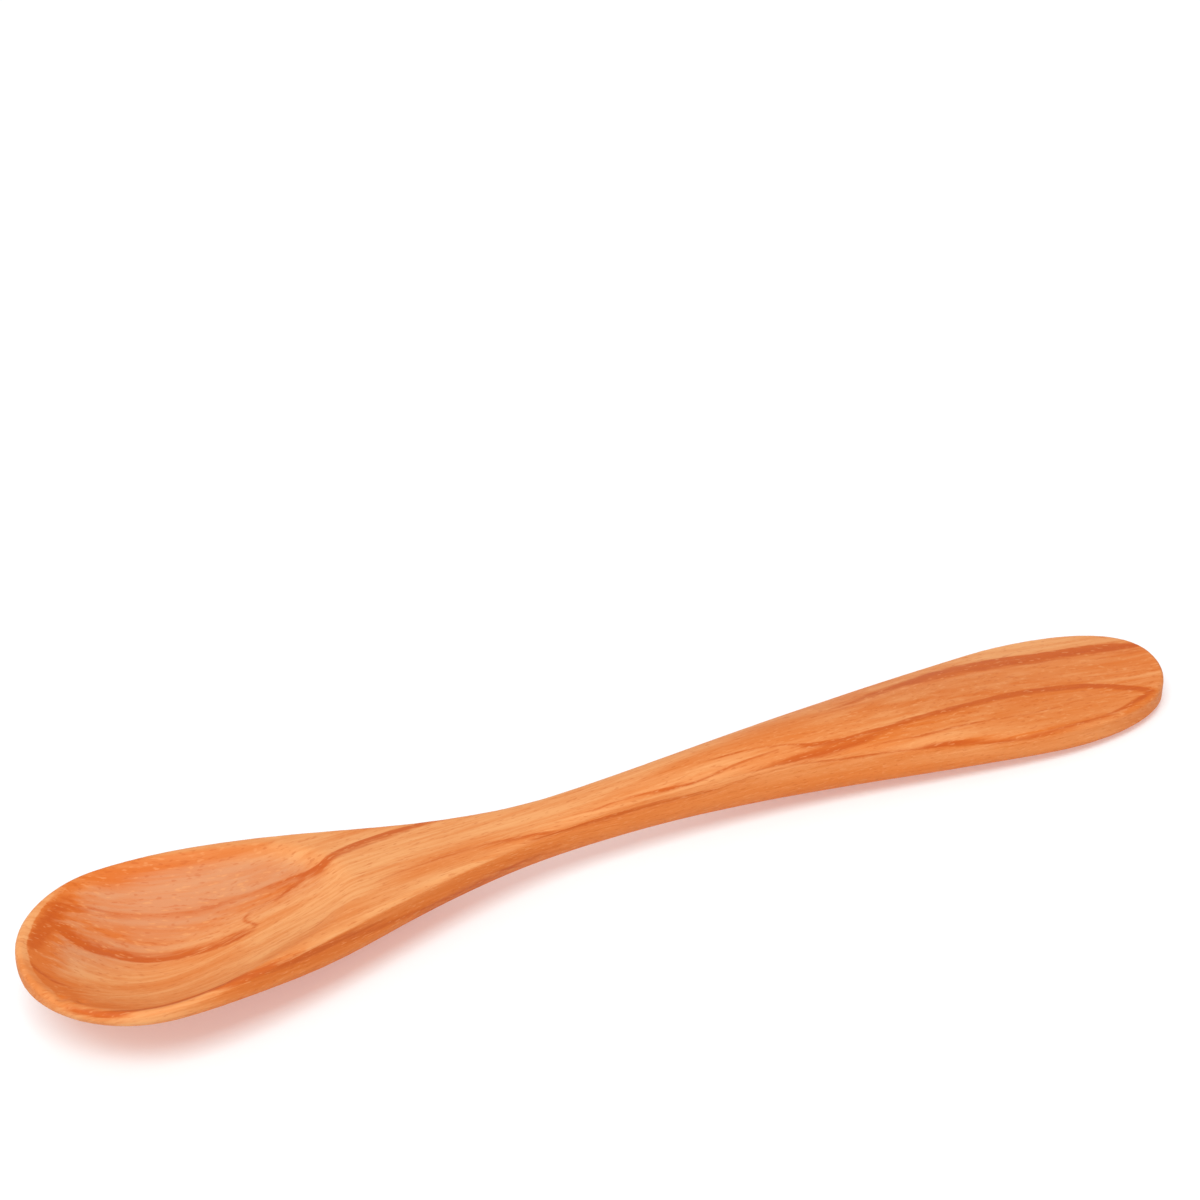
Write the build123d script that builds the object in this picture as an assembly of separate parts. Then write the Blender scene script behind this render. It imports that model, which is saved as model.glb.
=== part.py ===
from build123d import *
import os

os.makedirs("parts", exist_ok=True)

# The spoon lies along X with the tip of its bowl at -X, and rests on its belly and on the end of its handle.
# A name ending in _at is a distance from the tip of the bowl. Heights are measured from the table, and a fall or
# a rise from the height of the bowl at its widest part.
length = 160

# Tip of the bowl, a thin lip
tip_fall = 0.75
tip_thickness = 1.8

# Widest part of the bowl
bowl_at = 14
bowl_width = 28.3
bowl_height = 10
bowl_thickness = 6.7

# Belly, the lowest point under the bowl
belly_at = 37
belly_rise = 0.15

# Throat, where the bowl runs out into the neck
throat_at = 58
throat_fall = 0.9
throat_thickness = 7.3

# Neck, the narrowest part
neck_at = 74
neck_width = 6.4
neck_fall = 0.35
neck_thickness = 7

# Grip, about half way along the handle
grip_rise = 0.2
grip_thickness = 9.6
grip_crown = 2.6

# Paddle, the widest part of the handle, measured back from its end
paddle_from_end = 18.3
paddle_width = 21
paddle_height = 5.55

# End of the handle
end_height = 4.6

# The underside is sanded flat this far in, under the end of the handle and where the belly rests
flat_depth = 0.3
belly_flat_depth = 0.05

# Hollow of the bowl, behind the lip
hollow_lip = 1.7
hollow_length = 39.5
hollow_depth = 5

# Edges taken off with sandpaper
rim_bevel = 0.4
edge_bevel = 0.5

# Cutting bodies and the blank run past the finished wood by this much
overrun = 2

# Plan outline: how far the handles of its curves reach
tip_full_share = 0.66
bowl_front_share = 0.44
bowl_back_share = 0.29
neck_front_share = 0.39
neck_back_share = 0.51
paddle_front_share = 0.24
paddle_back_share = 0.72
end_full_share = 0.62

# The grip's place between the neck and the paddle
grip_share = 0.53

# The blank is this much wider and longer than the outline sawn from it
blank_width_share = 1.07
blank_length_share = 1.02

# Half width of the hollow's cut against the width of the bowl
cut_share = 0.58

# Handles of the curve under a section, against its depth, that bring it down to that depth
pull_share = 4 / 3

# Part of the thickness taken up by the rounded underside, how far out it stays full against the half width,
# and crown of the top against that of the grip, at the tip, bowl, belly, throat, neck, grip, paddle and end
round_share = [0.75, 0.8, 0.61, 0.71, 0.5, 0.59, 0.6, 0.3]
full_share = [0.4, 0.3, 0.2, 0.25, 0.6, 1, 1, 1]
crown_share = [0.08, 0.08, 0.08, 0.08, 0.2, 1, 0.45, 0.15]

# Sections of the blank, along its length
section_share = [0, 0.03, 0.07, 0.12, 0.18, 0.25, 0.32, 0.39, 0.46, 0.55, 0.64, 0.73, 0.82, 0.91, 1]

# Sections of the hollow: place along it, depth, and radius of the round gouge against the width of the bowl
hollow_share = [
    (-0.03, -0.02, 0.91),
    (0.09, 0.41, 0.88),
    (0.22, 0.8, 0.78),
    (0.4, 1, 0.66),
    (0.62, 0.73, 0.66),
    (0.83, 0.4, 0.74),
    (0.94, 0.14, 0.82),
    (1.04, -0.1, 0.85),
]


def station(along):
    return along - length / 2


def reach(curves, x):
    """How far a drawn line, in one or more curves, lies from the X axis at x."""
    across = Axis((x, 0, 0), (0, 1, 0))
    return max(point.Y for curve in curves for point in curve.intersect(across) or [])


# One side of the outline seen from above, from tip to end
bowl = bowl_width / 2
neck = neck_width / 2
paddle = paddle_width / 2
paddle_at = length - paddle_from_end
front = neck_at - bowl_at
back = paddle_at - neck_at
grip_at = neck_at + back * grip_share
outline = [
    Bezier(
        (station(0), 0),
        (station(0), bowl * tip_full_share),
        (station(bowl_at * (1 - bowl_front_share)), bowl),
        (station(bowl_at), bowl),
    ),
    Bezier(
        (station(bowl_at), bowl),
        (station(bowl_at + front * bowl_back_share), bowl),
        (station(neck_at - front * neck_front_share), neck),
        (station(neck_at), neck),
    ),
    Bezier(
        (station(neck_at), neck),
        (station(neck_at + back * neck_back_share), neck),
        (station(paddle_at - back * paddle_front_share), paddle),
        (station(paddle_at), paddle),
    ),
    Bezier(
        (station(paddle_at), paddle),
        (station(paddle_at + paddle_from_end * paddle_back_share), paddle),
        (station(length), paddle * end_full_share),
        (station(length), 0),
    ),
]

# Long profile: station, height of the top, thickness
profile = [
    (-overrun, bowl_height - tip_fall, tip_thickness),
    (bowl_at, bowl_height, bowl_thickness),
    (belly_at, bowl_height + belly_rise, bowl_height + belly_rise + belly_flat_depth),
    (throat_at, bowl_height - throat_fall, throat_thickness),
    (neck_at, bowl_height - neck_fall, neck_thickness),
    (grip_at, bowl_height + grip_rise, grip_thickness),
    (paddle_at, paddle_height, paddle_height + flat_depth),
    (length + overrun, end_height, end_height + flat_depth),
]
stations = [station(row[0]) for row in profile]
top_line = Spline(*[(x, row[1]) for x, row in zip(stations, profile)])
under_line = Spline(*[(x, row[1] - row[2]) for x, row in zip(stations, profile)])
round_line = Polyline(*[(x, length * share) for x, share in zip(stations, round_share)])
full_line = Polyline(*[(x, length * share) for x, share in zip(stations, full_share)])
crown_line = Polyline(*[(x, length * share) for x, share in zip(stations, crown_share)])


def blank_section(share):
    """Crowned on top, straight at the sides and rounded below."""
    x = station(-overrun / 2 + (length + overrun) * share)
    half = reach(outline, x / blank_length_share) * blank_width_share
    top = reach([top_line], x)
    low = reach([under_line], x)
    edge = top - grip_crown * reach([crown_line], x) / length
    side = low + (edge - low) * reach([round_line], x) / length
    pull = side + (low - side) * pull_share
    full = half * reach([full_line], x) / length
    lines = [
        Bezier((half, edge), (0, top + top - edge), (-half, edge)),
        Line((-half, edge), (-half, side)),
        Bezier((-half, side), (-full, pull), (full, pull), (half, side)),
        Line((half, side), (half, edge)),
    ]
    return Plane.YZ.offset(x) * make_face(lines)


def hollow_section(share, depth, radius_share):
    """The round underside of the gouge's cut, closed off above the spoon."""
    half = bowl_width * cut_share
    radius = bowl_width * radius_share
    x = station(hollow_lip + hollow_length * share)
    floor = reach([top_line], x) - hollow_depth * depth
    side = floor + half**2 / (radius + radius)
    top = bowl_height * 2
    lines = [
        Bezier((-half, side), (0, floor + floor - side), (half, side)),
        Line((half, side), (half, top)),
        Line((half, top), (-half, top)),
        Line((-half, top), (-half, side)),
    ]
    return Plane.YZ.offset(x) * make_face(lines)


# Blank, then the outline sawn through it
blank = loft([blank_section(share) for share in section_share])
plan = make_face(outline + [mirror(curve, Plane.XZ) for curve in outline])
spoon = blank & Pos(0, 0, -bowl_height) * extrude(plan, bowl_height * 3)

# Lower and upper edges broken, then the underside sanded flat where it meets the table
under = min(spoon.faces(), key=lambda face: face.normal_at().Z)
spoon = chamfer(under.edges(), edge_bevel)
upper = max(spoon.faces(), key=lambda face: face.normal_at().Z)
spoon = chamfer(upper.edges(), rim_bevel)
spoon = split(spoon, Plane.XY, keep=Keep.TOP)

# Hollow carved into the bowl
spoon -= loft([hollow_section(*shares) for shares in hollow_share])

export_step(spoon, "parts/spoon.step")
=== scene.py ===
import math

import bpy
import numpy as np
from mathutils import Matrix, Vector, noise


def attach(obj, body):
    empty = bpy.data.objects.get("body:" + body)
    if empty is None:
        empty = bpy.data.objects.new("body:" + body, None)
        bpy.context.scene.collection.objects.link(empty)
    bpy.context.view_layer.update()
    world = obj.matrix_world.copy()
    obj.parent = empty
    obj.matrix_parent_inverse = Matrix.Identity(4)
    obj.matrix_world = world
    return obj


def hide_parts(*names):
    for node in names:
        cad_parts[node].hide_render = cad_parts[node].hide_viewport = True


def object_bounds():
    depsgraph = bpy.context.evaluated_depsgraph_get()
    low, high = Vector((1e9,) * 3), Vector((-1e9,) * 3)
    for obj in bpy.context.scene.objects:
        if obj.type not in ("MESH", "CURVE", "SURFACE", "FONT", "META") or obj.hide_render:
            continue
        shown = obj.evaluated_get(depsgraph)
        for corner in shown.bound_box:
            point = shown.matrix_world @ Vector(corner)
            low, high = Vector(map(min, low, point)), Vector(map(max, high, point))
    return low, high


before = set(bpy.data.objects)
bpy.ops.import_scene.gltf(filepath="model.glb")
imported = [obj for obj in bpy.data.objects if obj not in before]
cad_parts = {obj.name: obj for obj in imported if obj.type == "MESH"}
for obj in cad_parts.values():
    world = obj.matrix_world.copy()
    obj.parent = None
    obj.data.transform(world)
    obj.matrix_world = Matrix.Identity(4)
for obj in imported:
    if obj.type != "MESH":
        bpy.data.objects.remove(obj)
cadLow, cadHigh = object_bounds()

millimetre = 0.001


# Small helpers


def toLinear(hexColour):
    channels = [int(hexColour[place : place + 2], 16) / 255 for place in (0, 2, 4)]
    return [c / 12.92 if c <= 0.04045 else ((c + 0.055) / 1.055) ** 2.4 for c in channels] + [1]


def addNode(tree, kind, settings=None, inputs=None):
    # settings are the node's own properties, inputs are values for its sockets or the sockets that feed them
    node = tree.nodes.new(kind)
    for name, value in (settings or {}).items():
        setattr(node, name, value)
    for name, value in (inputs or {}).items():
        if isinstance(value, bpy.types.NodeSocket):
            tree.links.new(value, node.inputs[name])
        else:
            node.inputs[name].default_value = value
    return node


def newMaterial(name):
    material = bpy.data.materials.new(name)
    material.use_nodes = True
    material.node_tree.nodes.clear()
    return material, material.node_tree


def addObject(name, data):
    piece = bpy.data.objects.new(name, data)
    bpy.context.scene.collection.objects.link(piece)
    return piece


def readPoints(mesh, what="co", rows="vertices"):
    data = np.zeros(len(getattr(mesh, rows)) * 3)
    getattr(mesh, rows).foreach_get(what, data)
    return data.reshape(-1, 3)


def smoothStep(low, high, values):
    share = np.clip((values - low) / (high - low), 0, 1)
    return share * share * (3 - 2 * share)


# The spoon's surface: the solid with its edges sanded soft and the small strays of hand work

spoonShape = {
    "weld": 0.001,  # mm, points closer than this are one
    "cell": 0.2,  # mm, size of the even mesh
    "edgeSteps": 5,  # passes of sanding over the whole spoon
    "handleSteps": 160,  # further passes over the rounded part of the handle
    "handleFrom": (56, 72),  # mm from the tip, where that part begins
    "handleTo": (128, 142),  # mm from the tip, where it ends
    "heelSteps": 60,  # passes over the heel of the hollow, where the gouge came out
    "heelFrom": (28, 36),  # mm from the tip, where the heel begins
    "heelTo": (44, 50),  # mm from the tip, where it ends
    "heelInside": 1.6,  # mm, kept away from the rim
    "edgeBand": 0.7,  # mm in from the outline, where the height of the upper edge is read
    "stray": 0.05,  # mm, how far the hand's sanding dips below the true surface
    "strayLength": 9,  # mm
    "nicks": [(2.3, -5.9, 0.35, 0.7), (4.5, -7.2, 0.25, 0.6)],  # along, across, depth, radius in mm
}


def evenMesh(source):
    mesh = source.data.copy()
    piece = addObject("spoonWood", mesh)
    weld = piece.modifiers.new("closed", "WELD")
    weld.merge_threshold = spoonShape["weld"] * millimetre
    grid = piece.modifiers.new("even", "REMESH")
    grid.mode = "VOXEL"
    grid.voxel_size = spoonShape["cell"] * millimetre
    sand = piece.modifiers.new("sanded", "SMOOTH")
    sand.iterations = spoonShape["edgeSteps"]
    applyModifiers(piece)
    return piece


def applyModifiers(piece):
    graph = bpy.context.evaluated_depsgraph_get()
    finished = bpy.data.meshes.new_from_object(piece.evaluated_get(graph))
    piece.modifiers.clear()
    piece.data = finished


def alongOf(points):
    return (points[:, 0] - cadLow.x) / millimetre


def outlineOf(along, across, height):
    # half width and height of the upper edge, millimetre by millimetre
    slices = np.clip(along.astype(int), 0, None)
    width = np.zeros(slices.max() + 1)
    np.maximum.at(width, slices, np.abs(across))
    edge = np.zeros(slices.max() + 1)
    outer = np.abs(across) > width[slices] - spoonShape["edgeBand"]
    np.maximum.at(edge, slices[outer], height[outer])
    return slices, width, edge


def softenPlace(piece, name, weight, steps):
    group = piece.vertex_groups.new(name=name)
    levels = np.round(weight, 2)  # the points of one level are added in one call
    for level in np.unique(levels[levels > 0]):
        group.add(np.nonzero(levels == level)[0].tolist(), float(level), "REPLACE")
    soften = piece.modifiers.new(name, "SMOOTH")
    soften.iterations = steps
    soften.vertex_group = name
    applyModifiers(piece)
    piece.vertex_groups.clear()


def softenHandle(piece):
    along = alongOf(readPoints(piece.data))
    weight = smoothStep(*spoonShape["handleFrom"], along)
    weight *= 1 - smoothStep(*spoonShape["handleTo"], along)
    softenPlace(piece, "handle", weight, spoonShape["handleSteps"])


def softenHeel(piece):
    points = readPoints(piece.data)
    along, across, height = alongOf(points), points[:, 1] / millimetre, points[:, 2] / millimetre
    slices, width, edge = outlineOf(along, across, height)
    weight = smoothStep(*spoonShape["heelFrom"], along)
    weight *= 1 - smoothStep(*spoonShape["heelTo"], along)
    weight *= smoothStep(0, 1, width[slices] - np.abs(across) - spoonShape["heelInside"])
    weight *= height > cadHigh.z / millimetre / 2  # the belly keeps its shape
    softenPlace(piece, "heel", weight, spoonShape["heelSteps"])


def handWork(piece):
    points = readPoints(piece.data)
    normals = readPoints(piece.data, "vector", "vertex_normals")
    inwards = np.zeros(len(points))
    length = spoonShape["strayLength"] * millimetre
    for index, point in enumerate(points):
        inwards[index] = 0.5 + 0.5 * noise.noise(Vector(point) / length)
    inwards *= spoonShape["stray"] * millimetre
    inwards *= np.clip(points[:, 2] / millimetre, 0, 1)  # the resting face stays flat
    along, across = alongOf(points), points[:, 1] / millimetre
    for nickAlong, nickAcross, depth, radius in spoonShape["nicks"]:
        far = np.hypot(along - nickAlong, across - nickAcross) / radius
        inwards += depth * millimetre * np.exp(-far * far) * (normals[:, 2] > 0)
    points -= normals * inwards[:, None]
    piece.data.vertices.foreach_set("co", points.ravel())
    piece.data.shade_smooth()


# The grain: each growth line is drawn from above as points of (mm from the tip, mm across, strength)
# Down the sides the drawing goes on as if unrolled, so the near side lies beyond the near edge
# soft holds how far in mm the colour fades out on the near side of the line and on its far side
# level orders the lines across the spoon, so that the fine fibres run with them, and None leaves a line out

growthLines = {
    "throat": {
        "soft": (1.8, 0.5),
        "level": 4,
        "path": [
            (7.6, 11, 0.8),
            (11.7, 9.9, 0.6),
            (14.7, 8.4, 0.5),
            (19.3, 6.5, 0.45),
            (24.2, 4.7, 0.5),
            (29.3, 3.9, 0.55),
            (34.7, 3.1, 0.75),
            (38, 2.6, 1),
            (40.7, 3.5, 1),
            (44.8, 4.4, 0.9),
            (50, 5, 0.8),
            (56, 5.2, 0.6),
        ],
    },
    "deep": {
        "soft": (0.6, 2.6),
        "level": 0.5,
        "path": [
            (7, 7.6, 1),
            (8.2, 5.4, 1.15),
            (10.2, 3.5, 1.15),
            (12.8, 1.9, 1.1),
            (15.5, 0.4, 1),
            (19.7, -1.1, 0.9),
            (23, -2.1, 0.8),
            (26.2, -2.4, 0.8),
        ],
    },
    "hook": {
        "soft": (0.8, 0.7),
        "level": None,
        "path": [
            (25.5, -2.5, 0.7),
            (28.2, -1.7, 0.65),
            (27.6, 0.2, 0.6),
            (29.2, 1.1, 0.55),
            (32.2, 1.1, 0.6),
            (36.7, 2.3, 0.8),
            (39, 2.6, 0.8),
        ],
    },
    "tip": {
        "soft": (0.4, 0.9),
        "level": -4,
        "path": [(1.3, 2, 0.6), (2, 0.2, 0.8), (3.3, -2.3, 0.8), (5, -3.7, 0.55), (8.5, -4.8, 0.3)],
    },
    "tipPatch": {
        "soft": (2.3, 1.4),
        "level": None,
        "path": [(3, 5, 0.8), (5, 7.4, 1), (7.4, 9.8, 1), (9.4, 11.2, 0.6)],
    },
    # rim: a dark line drawn like the growth lines along the near rim, at the lip's inner edge and on over the
    # arris
    "rim": {
        "soft": (0.8, 1.1),
        "level": -10,
        "path": [
            (2.4, -7.8, 0.5),
            (3.8, -9.5, 0.8),
            (6.7, -11.6, 1),
            (11.2, -12.3, 1),
            (16.6, -12.9, 1.1),
            (20, -13.2, 1.2),
            (24.4, -13, 1.2),
            (28.1, -12.7, 1.2),
            (32, -12.1, 1.1),
            (36, -11.3, 0.9),
            (40, -10.5, 0.6),
            (44, -9.8, 0.3),
        ],
    },
    "flank": {
        "soft": (1.2, 0.4),
        "level": -10,
        "path": [
            (28.1, -12.4, 0.5),
            (33.6, -11.9, 0.6),
            (40.9, -10.7, 0.55),
            (48.5, -9.1, 0.5),
            (56.3, -7.3, 0.55),
            (62.3, -6.2, 0.55),
            (67.9, -5.3, 0.45),
        ],
    },
    "flankLow": {
        "soft": (0.5, 0.5),
        "level": -14,
        "path": [
            (8.9, -15, 0.2),
            (16, -16, 0.3),
            (24, -16, 0.3),
            (32, -14.8, 0.35),
            (41, -12.6, 0.35),
            (50, -10.4, 0.3),
            (59.5, -8.4, 0.2),
        ],
    },
    "heel": {
        "soft": (0.3, 0.4),
        "level": -6,
        "path": [
            (22, -6, 0.1),
            (25.7, -6.7, 0.4),
            (29.3, -8.1, 0.5),
            (33.4, -7.6, 0.5),
            (36.6, -6.1, 0.4),
            (40.7, -4.6, 0.3),
        ],
    },
    "heelThin": {
        "soft": (0.25, 0.3),
        "level": None,
        "path": [(39, -1.5, 0.2), (42, -1.5, 0.5), (46, -1.2, 0.5), (50, -0.7, 0.3)],
    },
    "neck": {
        "soft": (1.4, 0.35),
        "level": -3,
        "path": [
            (41, -4.3, 0.25),
            (46.2, -2.9, 0.45),
            (51.9, -2.2, 0.55),
            (57, -2, 0.6),
            (61, -2.6, 0.65),
            (66.8, -3.3, 0.75),
            (73, -3.8, 0.75),
            (78.8, -4.1, 0.65),
            (84, -4.6, 0.55),
            (90.4, -5.4, 0.5),
        ],
    },
    "handle": {
        "soft": (1.3, 0.45),
        "level": -2,
        "path": [
            (101, -2.9, 0.3),
            (105, -3.6, 0.8),
            (109.4, -4, 0.9),
            (117, -3.6, 0.85),
            (125.5, -2.8, 0.9),
            (131, -2.3, 1.1),
            (135.5, -1.9, 1.2),
            (140.5, -2.1, 1.2),
            (145.6, -2.8, 1.2),
            (150.4, -4.5, 1.2),
            (154.6, -6.8, 1.1),
        ],
    },
    "handleThin": {
        "soft": (0.4, 0.3),
        "level": -1.8,
        "path": [
            (80, -0.6, 0.2),
            (87, -0.8, 0.6),
            (91.6, -1.3, 0.7),
            (97.4, -1.9, 0.7),
            (101.7, -2.8, 0.8),
            (105.8, -4, 0.7),
        ],
    },
    "handleNear": {
        "soft": (0.4, 0.3),
        "level": -2.5,
        "path": [
            (68, -1.9, 0.2),
            (73.2, -2.4, 0.5),
            (77.3, -2.3, 0.6),
            (82.4, -2.8, 0.7),
            (87.3, -3.2, 0.7),
            (93.8, -2.9, 0.7),
            (99.4, -2.8, 0.6),
        ],
    },
    "handleLow": {
        "soft": (0.9, 0.6),
        "level": -3.4,
        "path": [
            (92, -4.2, 0.3),
            (98.3, -4.2, 0.6),
            (103.6, -4.4, 0.9),
            (109.2, -4.7, 0.9),
            (115, -4.3, 0.6),
        ],
    },
    "paddle": {
        "soft": (1, 0.5),
        "level": -6,
        "path": [
            (86, -5.6, 0.2),
            (93.1, -5.2, 0.45),
            (101.6, -5.1, 0.6),
            (106.5, -6, 0.65),
            (111.7, -6.7, 0.7),
            (120.2, -7.5, 0.75),
            (124.8, -8.3, 0.7),
            (132, -9.6, 0.65),
            (141.4, -9.8, 0.7),
            (147, -9.4, 0.8),
            (151, -8.4, 0.8),
            (154.9, -7.2, 0.9),
        ],
    },
    "paddleThin": {
        "soft": (0.5, 0.3),
        "level": -4.4,
        "path": [
            (112, -5.6, 0.4),
            (119.4, -6.1, 0.6),
            (126.2, -6, 0.6),
            (131, -6.2, 0.6),
            (137, -6.3, 0.5),
            (144, -5.8, 0.4),
        ],
    },
    "handleUnder": {
        "soft": (0.4, 0.4),
        "level": -10.5,
        "path": [
            (72, -7.5, 0.2),
            (84.9, -8.5, 0.35),
            (93.3, -9.4, 0.35),
            (102.1, -10.3, 0.3),
            (110.4, -11, 0.3),
            (126.7, -12.3, 0.3),
            (144.7, -12.8, 0.3),
        ],
    },
    "farEdge": {
        "soft": (0.5, 0.4),
        "level": 3.2,
        "path": [
            (62, 4, 0.2),
            (70, 2.9, 0.3),
            (80, 2.8, 0.3),
            (90, 3.1, 0.35),
            (100, 3.6, 0.35),
            (110, 4.2, 0.35),
            (120, 5.6, 0.4),
            (130, 7, 0.4),
            (140, 7.6, 0.4),
            (150, 6.9, 0.3),
        ],
    },
    "paddleFar": {
        "soft": (3, 1),
        "level": 1.8,
        "path": [
            (104, 0.8, 0.2),
            (109.2, 1.4, 0.4),
            (115.6, 2.9, 0.6),
            (122.6, 4.8, 0.8),
            (129.2, 6.2, 1),
            (137, 6.5, 1.3),
            (146, 5.5, 1.3),
            (153, 4.5, 1.3),
            (158.5, 2.6, 1),
        ],
    },
}

# Broad darker zones, drawn the same way: zones of darker wood, and those marked below as painted shade and
# sheen
darkZones = {
    "tipWall": {
        "soft": (2.2, 2.6),
        "path": [(4.6, 7.6, 0.9), (6.6, 8.6, 1), (8.2, 6.4, 1), (9.6, 4.8, 0.7)],
    },
    "bowlMiddle": {
        "soft": (3.5, 2.4),
        "path": [(9, 8.4, 0.7), (16, 4.6, 0.6), (24, 2, 0.45), (32, 2.2, 0.6), (38, 2, 0.5)],
    },
    # painted shade: the bowl's far inner wall drawn darker, as less light falls on it
    "farWall": {
        "soft": (2.5, 3),
        "path": [(10, 12.8, 0.7), (16, 12.6, 0.9), (24, 11, 0.7), (34, 9, 0.5)],
    },
    "throatFar": {
        "soft": (1.5, 3),
        "path": [(38, 5, 0.4), (44, 6.2, 0.6), (52, 6.2, 0.5)],
    },
    # painted shade: the tip's inner wall, which faces away from the light, drawn darker
    "tipInside": {
        "soft": (5.5, 0.3),
        "path": [
            (8, -10.4, 0.6),
            (4.2, -8.2, 0.9),
            (2, -3.4, 1.2),
            (1.7, 1, 1.2),
            (2.8, 5.2, 1.3),
            (5.6, 9.4, 1.3),
            (9.4, 12, 1),
        ],
    },
    "nearWall": {
        "soft": (0.8, 1.6),
        "path": [(14, -12, 0.5), (20, -12.7, 0.7), (26, -12.2, 0.7), (30, -11.6, 0.5)],
    },
    # painted shade: the near lip's edge and the top of the near side drawn darker, so the lit chamfer there
    # does not stand out
    "nearLip": {
        "soft": (1.8, 0.8),
        "path": [
            (16, -13.8, 0.2),
            (20, -14, 0.6),
            (24, -13.7, 1),
            (28, -13.1, 1.1),
            (34, -12.1, 1.1),
            (40, -10.6, 1),
            (46, -9.3, 0.9),
            (52, -7.9, 0.8),
            (58, -6.4, 0.6),
        ],
    },
    # painted shade: the near side face along the bowl and neck drawn darker, as it takes none of the top's
    # sheen
    "flank": {
        "soft": (6, 2.8),
        "path": [
            (26, -14.6, 0.3),
            (32, -13, 0.5),
            (41, -10.4, 0.5),
            (50, -7.9, 0.6),
            (59, -6, 0.6),
            (68, -5, 0.4),
            (80, -5.4, 0.2),
        ],
    },
    "neckNear": {
        "soft": (1.5, 0.8),
        "path": [(58, -3, 0.5), (68, -3.4, 0.7), (78, -3.4, 0.6), (90, -4, 0.4)],
    },
    # painted sheen: the handle drawn deeper orange towards its end, where its top takes less sheen than the
    # throat's
    "handleHalf": {
        "soft": (16, 12),
        "path": [(58, -1, 0), (74, -1, 0.35), (90, -1, 0.38), (122, -1, 0.6), (158, -1, 0.75)],
    },
    "paddleFar": {
        "soft": (2, 1),
        "path": [(108, 2, 0.4), (118, 3.6, 0.8), (128, 4.8, 1), (140, 5, 1), (150, 4.2, 1), (158, 2.6, 0.9)],
    },
    "paddleMiddle": {
        "soft": (3, 0.5),
        "path": [
            (104, -4, 0.5),
            (112, -4.3, 0.8),
            (120, -3.8, 0.9),
            (132, -2.7, 1),
            (142, -2.8, 1),
            (150, -4.8, 1),
            (155, -6.6, 1),
        ],
    },
    "paddleNear": {
        "soft": (1.4, 1),
        "path": [(112, -6.8, 0.3), (122, -7.9, 0.7), (134, -9.4, 0.7), (146, -9.4, 0.8)],
    },
    "endCorner": {
        "soft": (2, 1.5),
        "path": [(149, -9.4, 0.7), (153, -8, 1), (155, -7, 0.9)],
    },
}

# How the drawing is laid over the spoon: places along and across in mm, depths in mm under the upper edge
# Of each pair, the effect begins at the first value and is full at the second

grainAndShadeLay = {
    "lean": 0.8,  # how far the layers lean across, per height, on the sides and underneath
    "sideFacing": (0.45, 0.1),  # how much a side faces up, 1 is level
    "topFacing": 0.2,  # a surface that faces up more than this belongs to the top
    "sideDepth": 0.6,  # where the sides' painted shade, a deeper orange for the sheen they lack, is full, along the bowl
    "gripDepth": 3.3,  # how much deeper that is along the rounded handle
    "gripFrom": (60, 90),  # where the handle's rounding begins
    "sideFrom": (8, 22),  # the side stays light round the tip
    "hollowDepth": (0.2, 1.4),  # the hollow's painted shade and sheen, from its edge down
    "hollowAcross": (-3, 5),  # and from the near side to the far side
    "hollowEnd": 50,
    "lipDepth": (0.22, 0.08),  # the lip stays light round the tip, where it catches the light: the streaks and zones, the painted shade inside the tip among them, stop short of it
    "lipEnd": (10, 7),
    "lipAcross": (-7, -4),
    "curveSteps": 8,  # straight steps between two drawn points
    "fibreStretch": 0.35,  # fibres change slowly along the spoon
    "fibreEase": 250,  # how freely they leave the drawn lines, so that they don't swirl
    "fibreParts": 16,  # the points are worked through in this many parts, to spare memory
    "heightShare": 0.5,  # of the height, in the pattern's third direction
}


def curveThrough(points):
    # Catmull-Rom through the drawn points
    points = np.array(points, float)
    padded = np.vstack([2 * points[0] - points[1], points, 2 * points[-1] - points[-2]])
    share = np.linspace(0, 1, grainAndShadeLay["curveSteps"], endpoint=False)[:, None]
    pieces = []
    for a, b, c, d in zip(padded, padded[1:], padded[2:], padded[3:]):
        square = 2 * a - 5 * b + 4 * c - d
        cube = 3 * b - a - 3 * c + d
        pieces.append((2 * b + (c - a) * share + square * share**2 + cube * share**3) / 2)
    return np.vstack(pieces + [points[-1:]])


def drawnStrength(places, lines):
    # 1 on a full-strength line, falling to 0 where it has faded out
    strength = np.zeros(len(places))
    for line in lines.values():
        near, far = line["soft"]
        curve = curveThrough(line["path"])
        for start, end in zip(curve[:-1], curve[1:]):
            step = end[:2] - start[:2]
            reach = max(near, far)
            inside = np.all(places > np.minimum(start, end)[:2] - reach, axis=1)
            inside &= np.all(places < np.maximum(start, end)[:2] + reach, axis=1)
            spot = places[inside] - start[:2]
            share = np.clip(spot @ step / (step @ step), 0, 1)
            off = spot - share[:, None] * step
            side = step[0] * spot[:, 1] - step[1] * spot[:, 0]
            fade = 1 - np.hypot(off[:, 0], off[:, 1]) / np.where(side > 0, far, near)
            depth = start[2] + (end[2] - start[2]) * share
            strength[inside] = np.maximum(strength[inside], depth * fade)
    return strength


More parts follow.
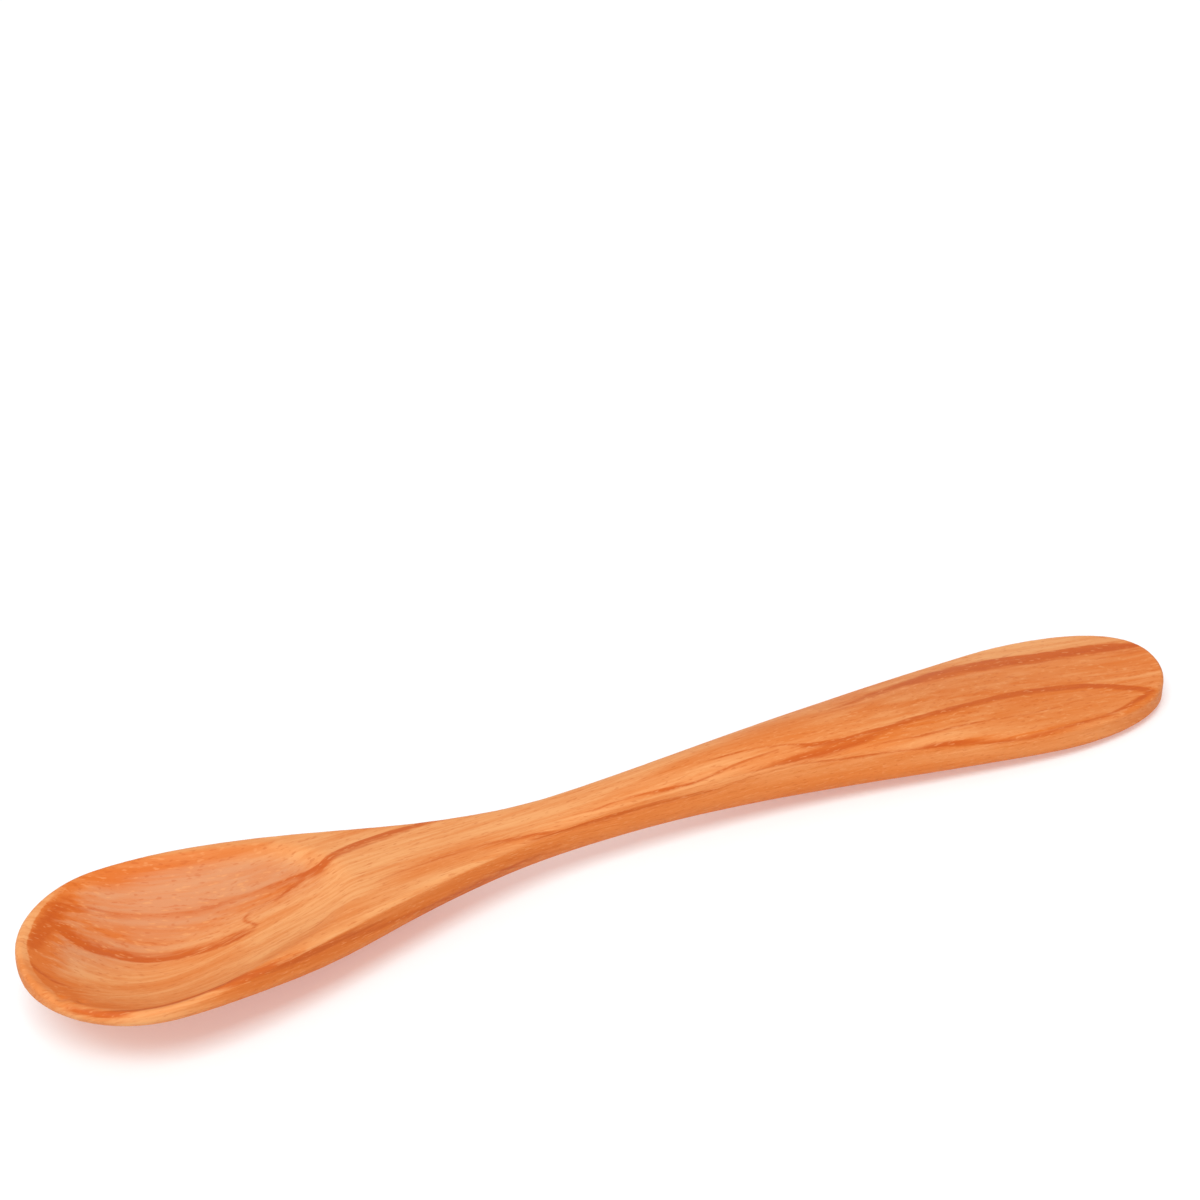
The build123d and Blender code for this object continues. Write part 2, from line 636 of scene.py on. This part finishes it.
def fibreField(places):
    # smooth field that keeps one value along each growth line
    known, values = [], []
    for line in growthLines.values():
        if line["level"] is not None:
            known += [point[:2] for point in line["path"]]
            values += [line["level"]] * len(line["path"])
    known, values = np.array(known, float), np.array(values, float)
    stretch = np.array([grainAndShadeLay["fibreStretch"], 1])

    def kernel(a, b):
        return np.linalg.norm((a[:, None] - b[None]) * stretch, axis=2) ** 3

    count = len(known)
    plane = np.hstack([np.ones((count, 1)), known])
    system = np.zeros((count + 3, count + 3))
    system[:count, :count] = kernel(known, known) + np.eye(count) * grainAndShadeLay["fibreEase"]
    system[:count, count:] = plane
    system[count:, :count] = plane.T
    weights = np.linalg.solve(system, np.hstack([values, np.zeros(3)]))
    fields = []
    for part in np.array_split(places, grainAndShadeLay["fibreParts"]):
        flat = np.hstack([np.ones((len(part), 1)), part])
        fields.append(kernel(part, known) @ weights[:count] + flat @ weights[count:])
    return np.concatenate(fields)


def layGrainAndShade(piece):
    points = readPoints(piece.data)
    normals = readPoints(piece.data, "vector", "vertex_normals")
    along = alongOf(points)
    across = points[:, 1] / millimetre
    height = points[:, 2] / millimetre
    slices, width, edge = outlineOf(along, across, height)
    depth = edge[slices] - height
    facingUp = normals[:, 2]
    top = facingUp > grainAndShadeLay["topFacing"]
    below = np.clip(depth, 0, None) * smoothStep(*grainAndShadeLay["sideFacing"], facingUp)
    places = np.stack([along, across - grainAndShadeLay["lean"] * below], 1)
    # painted light round the tip: the lip is left out of the streaks and zones, so it stays as light as the
    # light it catches
    lip = smoothStep(*grainAndShadeLay["lipDepth"], depth) * top
    lip *= smoothStep(*grainAndShadeLay["lipEnd"], along) * smoothStep(*grainAndShadeLay["lipAcross"], across)
    streak = drawnStrength(places, growthLines) * (1 - lip)
    zone = drawnStrength(places, darkZones) * (1 - lip)
    # painted shade: below the edges the sides get a deeper orange, standing in for the sheen they lack
    sideDepth = grainAndShadeLay["sideDepth"] + grainAndShadeLay["gripDepth"] * smoothStep(*grainAndShadeLay["gripFrom"], along)
    side = smoothStep(0, 1, below / sideDepth) * smoothStep(*grainAndShadeLay["sideFrom"], along)
    # painted shade and sheen of the hollow, strongest on its far wall
    hollow = smoothStep(*grainAndShadeLay["hollowDepth"], depth) * top * (along < grainAndShadeLay["hollowEnd"])
    hollow *= smoothStep(*grainAndShadeLay["hollowAcross"], across)
    for name, values in (("streak", streak), ("zone", zone), ("side", side), ("hollow", hollow)):
        layer = piece.data.attributes.new(name, "FLOAT", "POINT")
        layer.data.foreach_set("value", values.astype(np.float32))
    coordinates = np.stack([along, fibreField(places), height * grainAndShadeLay["heightShare"]], 1) * millimetre
    layer = piece.data.attributes.new("fibre", "FLOAT_VECTOR", "POINT")
    layer.data.foreach_set("vector", coordinates.astype(np.float32).ravel())


# Fruitwood, carved, sanded fine and oiled: warm orange with red-brown growth lines, satin with a soft sheen;
# its sides, hollow and some zones also carry painted shade and sheen

wood = {
    "light": "E7A266",
    "middle": "DA8343",
    "side": "DC7C34",  # painted shade below the edges: the sides drawn a deeper orange, as they take none of the top's sheen
    "hollow": "CE8B61",  # painted shade and sheen in the hollow: its far wall drawn darker and pinker, where less light and more sheen fall
    # colour of the darker zones, and also of the painted shade and sheen among them
    "zone": "D1691C",
    "streak": "BE520F",
    "patterns": {  # length and width in mm, detail, roughness
        "tone": (30, 3, 3, 0.55),
        "fine": (14, 0.45, 4, 0.6),  # fibres
        "strand": (22, 0.45, 3, 0.55),  # dark strands that fray out of a growth line
        "rag": (2.5, 0.4, 2, 0.55),  # ragged edge of a growth line
        "pore": (1.2, 0.22, 1, 0.55),  # vessels are finer than this and drawn as coarse as they need to show
    },
    "strandVary": (1.8, 0.1),  # factor and offset with which strands vary the zones along the fibres
    "ragTear": (0.8, -0.4),  # factor and offset with which rag tears the edges of the lines
    # each colour lies over the ones before it: where its mask starts and is full, and what it then covers
    "layers": [
        ("middle", "tone", 0.35, 0.65, 1, "SMOOTHSTEP"),
        # painted shade of the sides
        ("side", "side", 0, 1, 0.85, "LINEAR"),
        # painted shade and sheen of the hollow
        ("hollow", "hollow", 0, 1, 0.85, "LINEAR"),
        # darker zones of the wood, with the painted shade and sheen among them
        ("zone", "zone", 0.1, 0.9, 0.87, "SMOOTHSTEP"),
        ("streak", "streak", 0.2, 0.8, 0.9, "SMOOTHSTEP"),
        ("zone", "fine", 0.4, 0.62, 0.3, "SMOOTHSTEP"),
        ("light", "pore", 0.6, 0.72, 0.35, "SMOOTHSTEP"),
        ("streak", "pore", 0.4, 0.28, 0.35, "SMOOTHSTEP"),
    ],
    "roughness": 0.54,  # fine sanding under a thin coat of oil
    "fibreRoughness": 0.12,  # added along the fibres
    "ior": 1.3,  # oiled wood is nearer 1.45, but its sheen here is softer
    "relief": 0.05,  # mm
    "reliefStrength": 0.35,
    "fineRelief": 0.6,  # the fibres' part of the relief
    "poreRelief": 0.4,  # and that of the pores
}


def oiledFruitwood():
    material, tree = newMaterial("oiledFruitwood")
    fibre = addNode(tree, "ShaderNodeAttribute", {"attribute_name": "fibre"}).outputs["Vector"]
    masks = {}
    for name in ("streak", "zone", "side", "hollow"):
        masks[name] = addNode(tree, "ShaderNodeAttribute", {"attribute_name": name}).outputs["Fac"]
    for name, (length, width, detail, roughness) in wood["patterns"].items():
        scale = [1 / (size * millimetre) for size in (length, width, width)]
        mapped = addNode(tree, "ShaderNodeMapping", None, {"Vector": fibre, "Scale": scale})
        settings = {"Vector": mapped.outputs[0], "Scale": 1, "Detail": detail, "Roughness": roughness}
        masks[name] = addNode(tree, "ShaderNodeTexNoise", None, settings).outputs["Fac"]

    add, multiply, multiplyAdd = [{"operation": name} for name in ("ADD", "MULTIPLY", "MULTIPLY_ADD")]
    times, plus = wood["strandVary"]
    vary = {0: masks["strand"], 1: times, 2: plus}
    strands = addNode(tree, "ShaderNodeMath", multiplyAdd, vary).outputs[0]
    times, plus = wood["ragTear"]
    fray = addNode(tree, "ShaderNodeMath", multiplyAdd, {0: masks["rag"], 1: times, 2: plus}).outputs[0]
    fray = addNode(tree, "ShaderNodeMath", add, {0: strands, 1: fray}).outputs[0]
    masks["zone"] = addNode(tree, "ShaderNodeMath", multiply, {0: masks["zone"], 1: strands}).outputs[0]
    masks["streak"] = addNode(tree, "ShaderNodeMath", multiply, {0: masks["streak"], 1: fray}).outputs[0]

    base = toLinear(wood["light"])
    for colour, mask, start, full, cover, blend in wood["layers"]:
        reach = {"Value": masks[mask], "From Min": start, "From Max": full, "To Max": cover}
        share = addNode(tree, "ShaderNodeMapRange", {"interpolation_type": blend}, reach).outputs[0]
        colours = {0: share, 6: base, 7: toLinear(wood[colour])}
        base = addNode(tree, "ShaderNodeMix", {"data_type": "RGBA"}, colours).outputs[2]

    satin = {0: masks["fine"], 1: wood["fibreRoughness"], 2: wood["roughness"]}
    satin = addNode(tree, "ShaderNodeMath", multiplyAdd, satin).outputs[0]
    pores = {0: masks["pore"], 1: wood["poreRelief"]}
    pores = addNode(tree, "ShaderNodeMath", multiply, pores).outputs[0]
    height = {0: masks["fine"], 1: wood["fineRelief"], 2: pores}
    height = addNode(tree, "ShaderNodeMath", multiplyAdd, height).outputs[0]
    relief = {"Strength": wood["reliefStrength"], "Distance": wood["relief"] * millimetre, "Height": height}
    bump = addNode(tree, "ShaderNodeBump", None, relief).outputs[0]
    finish = {"IOR": wood["ior"], "Metallic": 0, "Base Color": base, "Roughness": satin, "Normal": bump}
    surface = addNode(tree, "ShaderNodeBsdfPrincipled", None, finish).outputs[0]
    addNode(tree, "ShaderNodeOutputMaterial", None, {"Surface": surface})
    return material


print("spoon: even mesh")
spoonWood = evenMesh(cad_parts["spoon"])
softenHandle(spoonWood)
softenHeel(spoonWood)
print("spoon: hand work on", len(spoonWood.data.vertices), "points")
handWork(spoonWood)
print("spoon: grain")
layGrainAndShade(spoonWood)
spoonWood.data.materials.clear()
spoonWood.data.materials.append(oiledFruitwood())
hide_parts("spoon")
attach(spoonWood, "root")


# Floor: matt white table, which keeps the spoon's soft shadow

table = {
    "side": 4,  # m
    "gap": 0.02,  # mm under the spoon
    "colour": "EDEBEA",
    "shadowTint": "B5DFE6",  # what the shadow takes from white, so that it looks pinkish
    "lift": (0, 0, 0.015),  # light added for the camera, so that the wood's orange stays off the table
}


def whiteTable():
    material, tree = newMaterial("paintedTableMatt")
    tint = toLinear(table["shadowTint"])
    rest = [1 - kept + more for kept, more in zip(tint, table["lift"])] + [1]
    plain = addNode(tree, "ShaderNodeBsdfDiffuse", None, {"Color": toLinear(table["colour"])}).outputs[0]
    seen = addNode(tree, "ShaderNodeBsdfDiffuse", None, {"Color": tint}).outputs[0]
    lift = addNode(tree, "ShaderNodeEmission", None, {"Color": rest, "Strength": 1}).outputs[0]
    bright = addNode(tree, "ShaderNodeAddShader", None, {0: seen, 1: lift}).outputs[0]
    path = addNode(tree, "ShaderNodeLightPath")
    shaders = {0: path.outputs["Is Camera Ray"], 1: plain, 2: bright}
    mixed = addNode(tree, "ShaderNodeMixShader", None, shaders).outputs[0]
    addNode(tree, "ShaderNodeOutputMaterial", None, {"Surface": mixed})
    return material


def makeTable():
    half = table["side"] / 2
    low = cadLow.z - table["gap"] * millimetre
    corners = [(-half, -half, low), (half, -half, low), (half, half, low), (-half, half, low)]
    mesh = bpy.data.meshes.new("table")
    mesh.from_pydata(corners, [], [(0, 1, 2, 3)])
    mesh.materials.append(whiteTable())
    floor = addObject("table", mesh)


print("table")
makeTable()


# Light: white room, a wide window over the camera's left, weak lamps low in front and behind for the sheen

light = {
    "white": "FFFFFF",
    "room": 0.52,  # strength on the spoon, while the camera and reflections see the room at 1
    "lamps": {
        "window": {"size": (1.5, 1), "place": (-0.86, -0.74, 2), "power": 38},  # m and W
        "frontLamp": {"size": (1.6, 1.6), "place": (-0.8, -2.1, 0.8), "power": 9},
        "sheenLamp": {"size": (1.6, 1.6), "place": (1, 2, 1.4), "power": 3},
    },
}


def makeLight():
    world = bpy.data.worlds.new("room")
    bpy.context.scene.world = world
    world.use_nodes = True
    tree = world.node_tree
    tree.nodes.clear()
    path = addNode(tree, "ShaderNodeLightPath")
    larger = {"operation": "MAXIMUM"}
    seen = path.outputs["Is Camera Ray"]
    for ray in ("Is Glossy Ray", "Is Transmission Ray"):
        seen = addNode(tree, "ShaderNodeMath", larger, {0: seen, 1: path.outputs[ray]}).outputs[0]
    white = toLinear(light["white"])
    room = addNode(tree, "ShaderNodeBackground", None, {"Color": white, "Strength": light["room"]}).outputs[0]
    backdrop = addNode(tree, "ShaderNodeBackground", None, {"Color": white, "Strength": 1}).outputs[0]
    mixed = addNode(tree, "ShaderNodeMixShader", None, {0: seen, 1: room, 2: backdrop}).outputs[0]
    addNode(tree, "ShaderNodeOutputWorld", None, {"Surface": mixed})
    for name, values in light["lamps"].items():
        data = bpy.data.lights.new(name, "AREA")
        data.shape = "RECTANGLE"
        data.size, data.size_y = values["size"]
        data.energy = values["power"]
        lamp = addObject(name, data)
        lamp.location = values["place"]
        back = lamp.location.normalized()  # turned away from the spoon, so that the lamp shines on it
        side = (Vector((1, 0, 0)) - back * back.x).normalized()
        lamp.rotation_euler = Matrix((side, back.cross(side), back)).transposed().to_euler()


print("light")
makeLight()


# Camera: stands off the bowl's end, looking down on the spoon

view = {
    "place": (-171.05, -295.78, 258.98),  # mm from the middle of the spoon's length, on the table
    "azimuth": -29.295,  # degrees, where the camera stands as seen from what it looks at
    "elevation": 33.081,
    "roll": 1.057,
    "fieldOfView": 20,
    "sensor": 36,  # mm
    "nearest": 10,  # mm, nothing closer is drawn
}


def makeCamera():
    data = bpy.data.cameras.new("camera")
    data.sensor_width = view["sensor"]
    data.lens = data.sensor_width / 2 / math.tan(math.radians(view["fieldOfView"]) / 2)
    data.clip_start = view["nearest"] * millimetre
    camera = addObject("camera", data)
    camera.location = Vector(view["place"]) * millimetre
    turn = Matrix.Rotation(math.radians(view["azimuth"]), 4, "Z")
    tilt = Matrix.Rotation(math.radians(90 - view["elevation"]), 4, "X")
    roll = Matrix.Rotation(math.radians(view["roll"]), 4, "Z")
    camera.rotation_euler = (turn @ tilt @ roll).to_euler()
    bpy.context.scene.camera = camera


print("camera")
makeCamera()
bpy.context.scene.view_settings.view_transform = "Standard"
